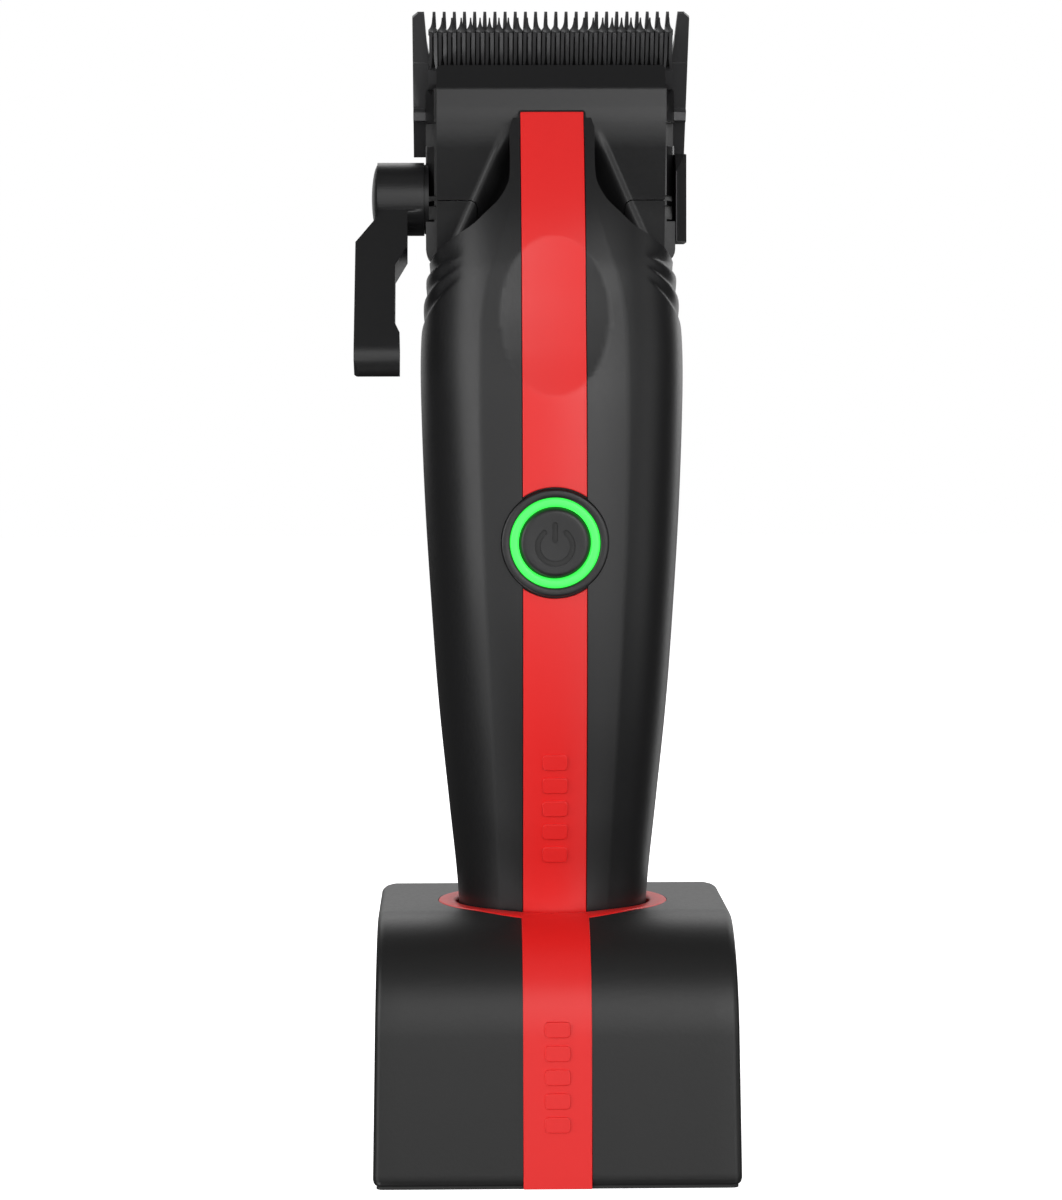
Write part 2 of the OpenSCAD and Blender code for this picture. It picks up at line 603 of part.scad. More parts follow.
module socket_ring() {
    color("#e02020") rotate_extrude() polygon([[ring_in, stand_h - 1.18], [ring_out, stand_h - 1.18],
        [ring_out, stand_h + 0.1], [ring_out - 0.2, stand_h + 0.3], [ring_in + 0.5, stand_h + 0.3],
        [ring_in, stand_h - 0.2]]);
}
module socket_cup() {
    color("#1b1b1b") difference() {
        translate([0, 0, floor_z - 2.2]) cylinder(r = ring_in + 1.6, h = stand_h - 1.2 - floor_z + 2.2);
        translate([0, 0, floor_z]) cylinder(r = ring_in + 0.05, h = 40);
        for (x = [-pin_x, pin_x]) translate([x, 0, floor_z - 4]) cylinder(r = 1, h = 6);
    }
}
module anti_slip_pad() {
    color("#181818") linear_extrude(height = 1.2 - eps) stand_plan(0.6);
}
module base_plate() {
    color("#202020") difference() {
        union() {
            translate([0, 0, 1.2]) linear_extrude(height = 2) stand_plan(3.2);
            for (x = [-20, 20]) for (y = [-14, 12]) translate([x, y, 3]) cylinder(r = 2.6, h = 6.6);
        }
        for (x = [-20, 20]) for (y = [-14, 12]) translate([x, y, 0]) cylinder(r = 1.05, h = 12);
    }
}
module ballast_plate() {
    color("#6d6d70") bar([-15, -26, 3.2 + eps], [15, 16, 8]);
}
module charging_board() {
    color("#0c5c38") difference() {
        bar([-23, -17, 9.6 + eps], [23, stand_back - 3.2, 11.2]);
        for (x = [-20, 20]) for (y = [-14, 12]) translate([x, y, 8]) cylinder(r = 1.2, h = 5);
    }
}
module base_screws() {
    color("#b0b0b0") for (x = [-20, 20]) for (y = [-14, 12]) translate([x, y, 3.4]) union() {
        cylinder(r = 1, h = 8);
        translate([0, 0, 7.85]) cylinder(r = 2, h = 1.2);
    }
}
module power_inlet() {
    color("#b5b5b8") difference() {
        bar([-4.9, stand_back - 9, 11.2 + eps], [4.9, stand_back - 0.4, 14.9]);
        bar([-4.5, stand_back - 8.4, 11.6], [4.5, stand_back + 1, 14.5]);
    }
}
module inlet_tongue() {
    color("#101010") bar([-3.4, stand_back - 8.4 + eps, 12.7], [3.4, stand_back - 2.4, 13.4]);
}
module contact_pin(x) {
    color("#d8b25a") translate([x, 0, 0]) union() {
        translate([0, 0, 13.2]) cylinder(r = 0.75, h = 6);
        translate([0, 0, 17]) cylinder(r = 1.7, h = 0.9);
        translate([0, 0, 17.5]) cylinder(r = 0.9, h = tail_z + 0.4 - 17.5);
    }
}
module contact_spring(x) {
    color("#c8c8c8") translate([x, 0, 11.5]) coil(1.3, 0.22, 1.02, 5);
}
module contact_pin_left() { contact_pin(-pin_x); }
module contact_pin_right() { contact_pin(pin_x); }
module contact_spring_left() { contact_spring(-pin_x); }
module contact_spring_right() { contact_spring(pin_x); }

// ---- drawing -------------------------------------------------------------------------

stand_shell();
stand_stripe();
socket_ring();
socket_cup();
base_plate();
ballast_plate();
anti_slip_pad();
charging_board();
power_inlet();
inlet_tongue();
base_screws();
contact_spring_left();
contact_spring_right();
contact_pin_left();
contact_pin_right();
front_housing();
rear_housing();
upper_stripe();
lower_stripe();
button_bezel();
led_ring();
power_button();
tact_switch();
main_board();
battery_cell();
battery_cradle();
motor_can();
motor_end_cap();
motor_bearing();
motor_mount();
motor_screws();
rotor_core();
motor_shaft();
eccentric_cam();
tail_cap();
tail_screws();
charge_contacts();
head_chassis();
head_cover();
head_corner_covers();
fixed_blade();
blade_screws();
cutter_blade();
drive_fork();
cutter_carriage();
carriage_rail();
taper_lever();
lever_cap();
lever_shaft();
lever_crank();
side_plate();
side_plate_screw();
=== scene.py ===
import json
import math

import bmesh
import bpy
import numpy as np
from mathutils import Matrix, Vector


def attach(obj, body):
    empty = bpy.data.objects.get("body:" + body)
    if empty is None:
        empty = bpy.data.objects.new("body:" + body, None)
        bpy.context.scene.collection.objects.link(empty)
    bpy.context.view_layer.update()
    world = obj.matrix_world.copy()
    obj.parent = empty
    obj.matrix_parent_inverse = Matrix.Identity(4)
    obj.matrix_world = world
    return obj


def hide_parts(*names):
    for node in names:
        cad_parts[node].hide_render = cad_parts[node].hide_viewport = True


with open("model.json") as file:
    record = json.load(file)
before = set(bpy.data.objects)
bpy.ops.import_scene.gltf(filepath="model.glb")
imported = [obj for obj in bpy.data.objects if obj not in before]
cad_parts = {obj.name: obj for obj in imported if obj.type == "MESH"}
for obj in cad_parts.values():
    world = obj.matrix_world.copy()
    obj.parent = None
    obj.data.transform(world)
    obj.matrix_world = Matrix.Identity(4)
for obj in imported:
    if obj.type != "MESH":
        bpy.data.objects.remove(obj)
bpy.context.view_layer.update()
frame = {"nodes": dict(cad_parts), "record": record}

MM = 0.001

# ---- driving dimensions, the same as the CAD source's --------------------------------

STRIPE_HALF = 5.35
STAND_STRIPE_HALF = 5.6
SHOULDER_Z = 151.3
HOUSING_FOOT = 34.0
NECK_TOP = 175.2
WALL = 2.2
GROOVE = 0.9
BUTTON_Z = 105.0
BEZEL_R = 8.8
LED_OUT, LED_IN = 7.35, 5.95
BUTTON_R = 5.8
FACE_Y = -24.8
BLADE_TILT = math.radians(35)
# Depth and height of the blade tips
TIP = (-4.6, 192.9)
STAND_W, STAND_FRONT, STAND_BACK, STAND_H = 60.3, 32.0, 25.0, 43.4
FRONT_ROUND = 18.5
RING_IN, RING_OUT = 16.4, 19.4
LEVER_AXIS = (5.5, 162.5)
# Thumb dimple: height of its middle, half width, half height, depth
DIMPLE_Z, DIMPLE_A, DIMPLE_B, DIMPLE_DEPTH = 142.0, 9.1, 13.2, 1.5
# Ridges of the shoulder folds: height at the side, and rise for each degree towards the front
FOLDS = [(139.3, 0.19), (144.2, 0.13), (148.4, 0.075), (152.8, 0.05)]
FOLD_DEPTH = 0.5

# Body outline by height: z, half width, front y, back y, squareness, widest y
BODY = [
    [34, 15.6, -15.6, 15.6, 2.0, 0], [46, 16.1, -16.1, 16.1, 2.05, 0],
    [60, 17.5, -18.9, 16.6, 2.2, -0.6], [77, 19.2, -22.2, 17.0, 2.4, -1.3],
    [94, 20.4, -24.2, 17.2, 2.5, -2], [111, 21.4, -24.6, 17.3, 2.5, -2],
    [128, 22.0, -24.2, 17.0, 2.5, -2], [137, 22.0, -22.9, 16.6, 2.5, -2],
    [145, 21.4, -21.3, 16.1, 2.5, -2], [151.3, 20.7, -20.0, 15.6, 2.5, -2],
    [161, 19.8, -16.6, 15.0, 2.5, -2], [176, 19.0, -9.5, 14.0, 2.5, -2],
]
# Half width of the neck by height
NECK = [[151.3, 20.7], [153.3, 19], [155.6, 15.9], [157.2, 13.4], [159.4, 11], [161.5, 8.9],
        [164.5, 7.3], [168, 7], [173.5, 7.0], [175.2, 6.5]]
# Half width of the flatter front panel by height
PANEL = [[34, 8.6], [60, 9.8], [111, 12.0], [140, 12.0], [147, 11.0], [153, 9.2], [160, 7.4],
         [176, 6.9]]
# Front face of the head cover by height: z, y
LID = [[151.8, -0.2], [161.2, -2.4], [172.4, -5.5], [175.6, -5.9], [180.6, -5.1], [184.6, -2.6]]


# ---- shape functions ------------------------------------------------------------------

def curve(table, z, c=1):
    """Smooth curve through a table's rows, read in column c at height z."""
    i = 0
    while i < len(table) - 2 and z > table[i + 1][0]:
        i += 1

    def grade(k):
        a, b = max(0, k - 1), min(len(table) - 1, k + 1)
        return (table[b][c] - table[a][c]) / (table[b][0] - table[a][0])

    h = table[i + 1][0] - table[i][0]
    s = (z - table[i][0]) / h
    low = table[i][c] * (1 + 2 * s) * (1 - s) ** 2 + grade(i) * h * s * (1 - s) ** 2
    high = table[i + 1][c] * s * s * (3 - 2 * s) - grade(i + 1) * h * s * s * (1 - s)
    return low + high


def straight(table, z):
    return float(np.interp(z, [row[0] for row in table], [row[1] for row in table]))


def smooth(a, b, x):
    t = min(1.0, max(0.0, (x - a) / (b - a)))
    return t * t * (3 - 2 * t)


def dimple(x, z):
    return DIMPLE_DEPTH * max(0.0, 1 - (x / DIMPLE_A) ** 2 - ((z - DIMPLE_Z) / DIMPLE_B) ** 2)


def on_dimple_edge(x, z, reach, keep_x=False):
    """Moves a grid point that is close to the dimple's edge onto it, so the edge stays crisp."""
    rho = math.hypot(x / DIMPLE_A, (z - DIMPLE_Z) / DIMPLE_B)
    if rho < 0.5 or abs(rho - 1) * 10 > 3 * reach:
        return x, z
    inside = 1 - (x / DIMPLE_A) ** 2
    if keep_x or abs(x) < 0.8 * DIMPLE_A:
        if inside > 0:
            edge = DIMPLE_Z + math.copysign(DIMPLE_B * math.sqrt(inside), z - DIMPLE_Z)
            if abs(edge - z) < reach:
                return x, edge
        return x, z
    edge = math.copysign(DIMPLE_A * math.sqrt(max(0, 1 - ((z - DIMPLE_Z) / DIMPLE_B) ** 2)), x)
    return (edge, z) if abs(edge - x) < reach else (x, z)


def flute(z, angle):
    """Depth of the overlapping diagonal folds on the shoulders; angle is measured from the side."""
    ridges = [foot + rise * angle for foot, rise in FOLDS]
    for low, high in zip(ridges, ridges[1:]):
        if low < z < high:
            p = (z - low) / (high - low)
            steep_part = 0.28
            sink = (1 - (1 - min(1.0, p / steep_part)) ** 2) * (1 - smooth(0.2, 1.0, p))
            return FOLD_DEPTH * sink * smooth(-60, -25, angle) * (1 - smooth(26, 50, angle))
    return 0.0


def arc_x(w, n, angle):
    return w * abs(math.cos(math.radians(angle))) ** (2 / n)


def front_y(x, z, t=0.0):
    """Depth of the body's front face at x and z, t inside the outer skin."""
    w, yf = curve(BODY, z, 1) - t, curve(BODY, z, 2) + t
    n, yp = curve(BODY, z, 4), curve(BODY, z, 5)

    def round_y(v):
        return yp - (yp - yf) * (1 - min(1.0, abs(v) / w) ** n) ** (1 / n)

    xc = curve(PANEL, z)
    if abs(x) >= xc:
        return round_y(x)
    edge, fullness = round_y(xc), 0.84
    return edge + fullness * (yf - edge) * (1 - (x / xc) ** 2)


def side_angle(x, w, n):
    return math.degrees(math.acos(min(1.0, (min(abs(x), w) / w) ** (n / 2))))


def lid_face(z):
    return straight(LID, z)


# ---- mesh builders --------------------------------------------------------------------

def build(name, verts, faces, scale=MM):
    mesh = bpy.data.meshes.new(name)
    mesh.from_pydata([tuple(c * scale for c in v) for v in verts], [], faces)
    mesh.validate()
    obj = bpy.data.objects.new(name, mesh)
    bpy.context.collection.objects.link(obj)
    return obj


def finish_mesh(obj, sharp=32, bevel=0.0, segments=3, angle=40, weld=0.0):
    """Merges double points, points the faces outwards, rounds sharp edges and shades smooth."""
    bm = bmesh.new()
    bm.from_mesh(obj.data)
    if weld:
        bmesh.ops.remove_doubles(bm, verts=bm.verts, dist=weld * MM)
    bmesh.ops.recalc_face_normals(bm, faces=bm.faces)
    bm.to_mesh(obj.data)
    bm.free()
    for poly in obj.data.polygons:
        poly.use_smooth = True
    obj.data.set_sharp_from_angle(angle=math.radians(sharp))
    if bevel:
        mod = obj.modifiers.new("rounded edges", "BEVEL")
        mod.width = bevel * MM
        mod.segments = segments
        mod.limit_method = "ANGLE"
        mod.angle_limit = math.radians(angle)
        mod.harden_normals = True
    return obj


def shell(name, outer, inner):
    """A thin-walled closed mesh between two grids of points."""
    n, m = len(outer), len(outer[0])
    k = n * m
    faces = []
    for i in range(n - 1):
        for j in range(m - 1):
            a, b, c, d = i * m + j, i * m + j + 1, (i + 1) * m + j + 1, (i + 1) * m + j
            faces += [(a, b, c, d), (k + a, k + d, k + c, k + b)]
        for a, b in ((i * m, (i + 1) * m), ((i + 2) * m - 1, (i + 1) * m - 1)):
            faces.append((a, b, k + b, k + a))
    for j in range(m - 1):
        for a, b in ((j + 1, j), ((n - 1) * m + j, (n - 1) * m + j + 1)):
            faces.append((a, b, k + b, k + a))
    points = [p for row in outer for p in row] + [p for row in inner for p in row]
    return build(name, points, faces)


def lathe(name, profile, place, steps=128):
    """Turns a closed profile of (radius, height) round an axis and puts it in place."""
    verts, faces = [], []
    m = len(profile)
    for i in range(steps):
        a = 2 * math.pi * i / steps
        verts += [place(r * math.cos(a), r * math.sin(a), h) for r, h in profile]
    for i in range(steps):
        for j in range(m):
            a, b = i * m + j, i * m + (j + 1) % m
            c, d = ((i + 1) % steps) * m + (j + 1) % m, ((i + 1) % steps) * m + j
            faces.append((a, b, c, d))
    return build(name, verts, faces)


def prism(name, outline, low, high, place):
    """A flat outline pushed from low to high, with place turning (u, v, h) into a point."""
    m = len(outline)
    verts = [place(u, v, low) for u, v in outline] + [place(u, v, high) for u, v in outline]
    faces = [tuple(range(m)), tuple(range(2 * m - 1, m - 1, -1))]
    faces += [(i, (i + 1) % m, m + (i + 1) % m, m + i) for i in range(m)]
    return build(name, verts, faces)


def rounded_path(corners, steps=8):
    """A closed outline from corners given as u, v, radius."""
    path = []
    for i, (u, v, r) in enumerate(corners):
        here = Vector((u, v))
        before = Vector(corners[i - 1][:2]) - here
        after = Vector(corners[(i + 1) % len(corners)][:2]) - here
        if r <= 0:
            path.append((u, v))
            continue
        half = before.angle(after) / 2
        reach = r / math.tan(half)
        inwards = (before.normalized() + after.normalized()).normalized()
        centre = here + inwards * (r / math.sin(half))
        first = here + before.normalized() * reach - centre
        last = here + after.normalized() * reach - centre
        turn = first.angle_signed(last)
        for k in range(steps + 1):
            step = first.copy()
            step.rotate(Matrix.Rotation(-turn * k / steps, 2))
            path.append((centre.x + step.x, centre.y + step.y))
    return path


def refined(node, bevel=0.25, segments=3, weld=0.004, sharp=32):
    """A copy of a CAD node with its flat facets merged and its edges rounded, in its place."""
    src = frame["nodes"][node]
    obj = bpy.data.objects.new(node + "_finished", src.data.copy())
    bpy.context.collection.objects.link(obj)
    obj.matrix_world = src.matrix_world.copy()
    bm = bmesh.new()
    bm.from_mesh(obj.data)
    bmesh.ops.remove_doubles(bm, verts=bm.verts, dist=weld * MM)
    bmesh.ops.dissolve_limit(bm, angle_limit=math.radians(0.6), verts=bm.verts, edges=bm.edges)
    bm.to_mesh(obj.data)
    bm.free()
    return finish_mesh(obj, sharp=sharp, bevel=bevel, segments=segments)


def combine(obj, tool, how):
    """Boolean of obj with tool, kept in obj."""
    mod = obj.modifiers.new("combine", "BOOLEAN")
    mod.operation = how
    mod.solver = "EXACT"
    mod.object = tool
    depsgraph = bpy.context.evaluated_depsgraph_get()
    mesh = bpy.data.meshes.new_from_object(obj.evaluated_get(depsgraph))
    obj.modifiers.clear()
    obj.data = mesh
    bpy.data.objects.remove(tool)
    return obj


def cut(obj, tool):
    """Takes tool away from obj for good."""
    combine(obj, tool, "DIFFERENCE")


def join(name, parts):
    """Several closed meshes as one object."""
    bm = bmesh.new()
    for part in parts:
        bm.from_mesh(part.data)
        bpy.data.objects.remove(part)
    mesh = bpy.data.meshes.new(name)
    bm.to_mesh(mesh)
    bm.free()
    obj = bpy.data.objects.new(name, mesh)
    bpy.context.collection.objects.link(obj)
    return obj


def from_front(u, v, h):
    return (u, h, v)


def straight_up(u, v, h):
    return (u, v, h)


def blade_place(x, along, out):
    """Blade coordinates: along towards the tips, out towards the cutter's side."""
    c, s = math.cos(BLADE_TILT), math.sin(BLADE_TILT)
    return (x, TIP[0] - along * s - out * c, TIP[1] + along * c - out * s)


# ---- materials ------------------------------------------------------------------------

def moulded(name, color, rough, grain=900, bump=0.06, vary=0.12, metal=0.0, stretch=(1, 1, 1)):
    """A surface with fine grain, slight patches of tone and uneven gloss."""
    mat = bpy.data.materials.new(name)
    mat.use_nodes = True
    tree = mat.node_tree
    nodes, links = tree.nodes, tree.links
    shader = nodes["Principled BSDF"]
    shader.inputs["Metallic"].default_value = metal
    coords = nodes.new("ShaderNodeTexCoord")
    mapping = nodes.new("ShaderNodeMapping")
    mapping.inputs["Scale"].default_value = stretch
    links.new(coords.outputs["Object"], mapping.inputs["Vector"])
    fine = nodes.new("ShaderNodeTexNoise")
    fine.inputs["Scale"].default_value = grain
    fine.inputs["Detail"].default_value = 3
    broad = nodes.new("ShaderNodeTexNoise")
    broad.inputs["Scale"].default_value = 38
    broad.inputs["Detail"].default_value = 2
    for noise in (fine, broad):
        links.new(mapping.outputs["Vector"], noise.inputs["Vector"])
    tone = nodes.new("ShaderNodeMix")
    tone.data_type = "RGBA"
    tone.inputs["A"].default_value = (*[c * (1 - vary) for c in color], 1)
    tone.inputs["B"].default_value = (*[min(1, c * (1 + vary)) for c in color], 1)
    links.new(broad.outputs["Fac"], tone.inputs["Factor"])
    links.new(tone.outputs["Result"], shader.inputs["Base Color"])
    gloss = nodes.new("ShaderNodeMapRange")
    gloss.inputs["To Min"].default_value = rough - 0.05
    gloss.inputs["To Max"].default_value = rough + 0.05
    links.new(fine.outputs["Fac"], gloss.inputs["Value"])
    links.new(gloss.outputs["Result"], shader.inputs["Roughness"])
    relief = nodes.new("ShaderNodeBump")
    relief.inputs["Strength"].default_value = bump
    relief.inputs["Distance"].default_value = 0.0002
    links.new(fine.outputs["Fac"], relief.inputs["Height"])
    links.new(relief.outputs["Normal"], shader.inputs["Normal"])
    return mat


def lit_ring(name, color, strength):
    mat = moulded(name, color, 0.35, grain=600, bump=0.02)
    shader = mat.node_tree.nodes["Principled BSDF"]
    shader.inputs["Emission Color"].default_value = (*color, 1)
    shader.inputs["Emission Strength"].default_value = strength
    return mat


MATERIALS = {
    "black_body": moulded("body_black", (0.009, 0.009, 0.0095), 0.38, grain=1400, bump=0.05),
    "black_stand": moulded("stand_black", (0.011, 0.011, 0.011), 0.42, grain=1600, bump=0.07),
    "red_stripe": moulded("stripe_red", (0.79, 0.012, 0.011), 0.38, grain=1500, bump=0.04,
                          vary=0.03),
    "black_inner": moulded("inner_black", (0.018, 0.018, 0.018), 0.6, grain=700, bump=0.1),
    "led_green": lit_ring("led_green", (0.045, 1.0, 0.083), 1.0),
    "blade_black": moulded("blade_coating", (0.06, 0.06, 0.062), 0.34, grain=500, bump=0.06,
                           metal=0.35, stretch=(6, 0.4, 0.4)),
    "head_black": moulded("head_coating", (0.009, 0.009, 0.0095), 0.31, grain=1300, bump=0.05),
    "lever_black": moulded("lever_coating", (0.01, 0.01, 0.0105), 0.38, grain=1100, bump=0.06),
    "rubber": moulded("pad_rubber", (0.02, 0.02, 0.02), 0.85, grain=500, bump=0.3),
    "steel": moulded("steel", (0.55, 0.55, 0.57), 0.3, grain=400, bump=0.05, metal=1.0,
                     stretch=(1, 1, 8)),
    "brass": moulded("plated_brass", (0.78, 0.58, 0.27), 0.25, grain=400, bump=0.03, metal=1.0),
    "board": moulded("solder_mask", (0.02, 0.16, 0.08), 0.35, grain=300, bump=0.05),
    "cell_wrap": moulded("cell_wrap", (0.06, 0.18, 0.42), 0.25, grain=200, bump=0.05),
    "copper": moulded("wound_copper", (0.62, 0.28, 0.13), 0.35, grain=250, bump=0.3, metal=0.8,
                      stretch=(1, 1, 10)),
    "white_nylon": moulded("nylon", (0.72, 0.72, 0.68), 0.5, grain=500, bump=0.05),
    "ballast": moulded("ballast_steel", (0.24, 0.24, 0.25), 0.6, grain=300, bump=0.2, metal=0.7),
}
SLOTS = {row["node"]: row["material_slot"] for row in frame["record"]["subparts"]}
BODIES = {node: body for body, nodes in frame["record"]["behaviour"]["bodies"].items()
          for node in nodes}


def paint(obj, slot):
    obj.data.materials.clear()
    obj.data.materials.append(MATERIALS[slot])
    for poly in obj.data.polygons:
        poly.material_index = 0


def stand_for(obj, node, *more):
    """obj shows instead of these CAD nodes, with their finish, on their body."""
    paint(obj, SLOTS[node])
    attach(obj, BODIES[node])
    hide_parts(node, *more)
    return obj


def extra(obj, body, slot):
    """A piece of detail that stands for no CAD node."""
    paint(obj, slot)
    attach(obj, body)
    return obj


for node_name, node_obj in frame["nodes"].items():
    for material_slot in node_obj.material_slots:
        material_slot.material = MATERIALS[SLOTS[node_name]]


# ---- clipper body ---------------------------------------------------------------------

def body_heights(low, high, step, fine=0.27):
    heights, z = [], low
    while z < high - step * 0.4:
        heights.append(z)
        z += fine if DIMPLE_Z - 14 < z < 156.5 else step
    return heights + [high]


def front_row(z, t):
    w, n, yp = curve(BODY, z, 1) - t, curve(BODY, z, 4), curve(BODY, z, 5)
    limit = (curve(NECK, z) if z > SHOULDER_Z else curve(BODY, z, 1)) - t
    panel = max(STRIPE_HALF + 0.5, min(curve(PANEL, z), limit - 0.35))
    inner_edge = min(STRIPE_HALF + 0.02, limit - 0.9)
    a0 = max(1.0, side_angle(limit, w, n))
    a1 = side_angle(min(panel, limit - 0.2), w, n)
    back = lid_face(z) - 0.2 if z > SHOULDER_Z else yp - 0.02
    groove = 0.0 if t else GROOVE

    def point(x, deeper):
        if t:
            return (x, front_y(x, z, t) + dimple(x, z), z)
        xs, zs = on_dimple_edge(x, z, 0.28)
        xs = min(limit, max(-limit, xs))
        y = front_y(xs, zs) + dimple(xs, zs) + deeper
        angle = side_angle(xs, w, n)
        fold = 1 - flute(zs, angle) / w
        return (xs * fold, yp + (y - yp) * fold, zs)

    # Points from the side to the front panel, from there to the stripe, and across the stripe
    side, edge, across = 44, 10, 24
    half = inner_edge - 0.02
    right = [arc_x(w, n, a0 + (a1 - a0) * k / side) for k in range(side + 1)]
    right += [right[-1] + (inner_edge - right[-1]) * k / edge for k in range(1, edge + 1)]
    middle = [half - 2 * half * k / across for k in range(across + 1)]
    row = [(right[0] * (1 - (flute(z, a0) / w if not t else 0)), back, z)]
    row += [point(x, 0) for x in right]
    row += [point(x, groove) for x in middle]
    row += [point(-x, 0) for x in reversed(right)]
    return row + [(-row[0][0], back, z)]


def rear_row(z, t):
    w, n, yp = curve(BODY, z, 1) - t, curve(BODY, z, 4), curve(BODY, z, 5)
    yb = curve(BODY, z, 3) - t
    row, steps = [], 80
    for k in range(steps + 1):
        angle = 180 - 180 * k / steps
        x = math.copysign(arc_x(w, n, angle), math.cos(math.radians(angle)))
        y = yp + (yb - yp) * abs(math.sin(math.radians(angle))) ** (2 / n)
        from_side = -min(angle, 180 - angle)
        fold = 1.0 if t else 1 - flute(z, from_side) / w
        row.append((x * fold, yp + (y - yp) * fold + (0.02 if k in (0, steps) else 0), z))
    return row


def stripe(name, low, high, low_arc, high_arc):
    """An insert that follows the front face, with ends that clear the bezel on an arc."""
    half = STRIPE_HALF - 0.09
    clear = BEZEL_R + 0.3
    rows = 150
    outer, inner = [], []
    for i in range(rows + 1):
        top, under = [], []
        for k in range(25):
            x = half - 2 * half * k / 24
            reach = math.sqrt(clear ** 2 - x * x)
            z0 = BUTTON_Z + reach if low_arc else low
            z1 = BUTTON_Z - reach if high_arc else high
            z = z0 + (z1 - z0) * i / rows
            _, z = on_dimple_edge(x, z, 0.22, keep_x=True)
            y = front_y(x, z) + dimple(x, z)
            top.append((x, y - 0.02, z))
            under.append((x, y + GROOVE - 0.03, z))
        outer.append(top)
        inner.append(under)
    return finish_mesh(shell(name, outer, inner), bevel=0.16, segments=3, angle=50)


def make_body():
    heights = body_heights(HOUSING_FOOT, SHOULDER_Z, 1.2)
    all_heights = heights + body_heights(SHOULDER_Z + 0.1, NECK_TOP, 0.5)
    front = shell("front_shell", *[[front_row(z, t) for z in all_heights] for t in (0, WALL)])
    hole = prism("hole", [((BEZEL_R + 0.08) * math.cos(a), (BEZEL_R + 0.08) * math.sin(a))
                          for a in np.linspace(0, 2 * math.pi, 97)[:-1]], -30, -12,
                 lambda u, v, h: (u, h, BUTTON_Z + v))
    for obj in (front, hole):
        finish_mesh(obj)
    cut(front, hole)
    finish_mesh(front, bevel=0.2, segments=3, angle=48)
    stand_for(front, "front_housing")
    rear = shell("rear_shell", *[[rear_row(z, t) for z in heights] for t in (0, WALL)])
    stand_for(finish_mesh(rear, bevel=0.13, segments=3, angle=48), "rear_housing")
    stand_for(stripe("upper_insert", 0, NECK_TOP + 1, True, False), "upper_stripe")
    half, low, high = 5.62, 172, NECK_TOP + 1.3
    outline = rounded_path([(-half, low, 0), (half, low, 0), (half, high, 0.6), (-half, high, 0.6)])
    lip = prism("stripe_lip", outline, 0.12, 1.2, lambda u, v, h: (u, front_y(u, v) + h, v))
    extra(finish_mesh(lip, bevel=0.08, segments=2, angle=50), "clipper", "black_body")
    stand_for(stripe("lower_insert", 38, 0, False, True), "lower_stripe")


def button_place(u, v, h):
    return (u, FACE_Y + h, BUTTON_Z + v)


def power_symbol():
    """Outlines of the open circle and of the bar in its gap."""
    arc_r, stroke, drop = 2.85, 0.46, 0.55
    opening = math.radians(38)
    angles = np.linspace(math.pi / 2 + opening, math.pi * 2.5 - opening, 48)
    round_end = np.linspace(0.3, math.pi - 0.3, 6)
    last, first = angles[-1], angles[0]
    circle = [((arc_r + stroke) * math.cos(a), (arc_r + stroke) * math.sin(a) - drop)
              for a in angles]
    circle += [(arc_r * math.cos(last) + stroke * math.cos(last + b),
                arc_r * math.sin(last) - drop + stroke * math.sin(last + b)) for b in round_end]
    circle += [((arc_r - stroke) * math.cos(a), (arc_r - stroke) * math.sin(a) - drop)
               for a in reversed(angles)]
    circle += [(arc_r * math.cos(first) - stroke * math.cos(first + b),
                arc_r * math.sin(first) - drop - stroke * math.sin(first + b)) for b in round_end]
    top, foot = 2.95, 0.45
    bar = [(stroke * math.cos(a), top + stroke * math.sin(a)) for a in np.linspace(0, math.pi, 9)]
    bar += [(stroke * math.cos(a), foot + stroke * math.sin(a))
            for a in np.linspace(math.pi, 2 * math.pi, 9)]
    return circle, bar


def make_button_cap():
    rim = [(BUTTON_R - 0.95 * (1 - math.sin(a)), 0.1 + 0.95 * (1 - math.cos(a)) * 0.8)
           for a in np.linspace(0, math.pi / 2, 9)]
    face = [(0.0001, 0.22), (2.5, 0.19), (BUTTON_R - 1.5, 0.12)]
    cap = lathe("button_cap", face + rim + [(BUTTON_R, 2.9), (0.0001, 2.9)], button_place)
    finish_mesh(cap, weld=0.001)
    groove_floor = 0.62
    inlays = []
    for outline in power_symbol():
        cut(cap, finish_mesh(prism("symbol", outline, -1, groove_floor, button_place)))
        inlays.append(prism("inlay", outline, 0.5, groove_floor + 0.04, button_place))
    extra(finish_mesh(join("button_inlay", inlays)), "button", "black_inner")
    finish_mesh(cap, bevel=0.08, segments=2, angle=45, sharp=40)
    stand_for(cap, "power_button")


def make_button():
    bezel = [(LED_OUT + 0.06, 0.5), (LED_OUT + 0.12, 0.12), (LED_OUT + 0.3, 0),
             (BEZEL_R - 0.4, 0.02), (BEZEL_R - 0.12, 0.1), (BEZEL_R, 0.32), (BEZEL_R, 4.2),
             (LED_IN, 4.2), (LED_IN, 3.9), (LED_OUT + 0.06, 3.9)]
    stand_for(finish_mesh(lathe("bezel_ring", bezel, button_place), sharp=60), "button_bezel")
    guide = [(LED_IN, 0.45), (LED_IN + 0.12, 0.14), (LED_IN + 0.35, 0.05), (LED_OUT - 0.35, 0.05),
             (LED_OUT - 0.12, 0.14), (LED_OUT, 0.45), (LED_OUT, 3.8), (LED_IN, 3.8)]
    stand_for(finish_mesh(lathe("light_guide", guide, button_place), sharp=60), "led_ring")
    make_button_cap()


# ---- head -----------------------------------------------------------------------------

HEAD_HALF = 19.2
SEAM_Z = 161.9
CORNER_X = 12.4


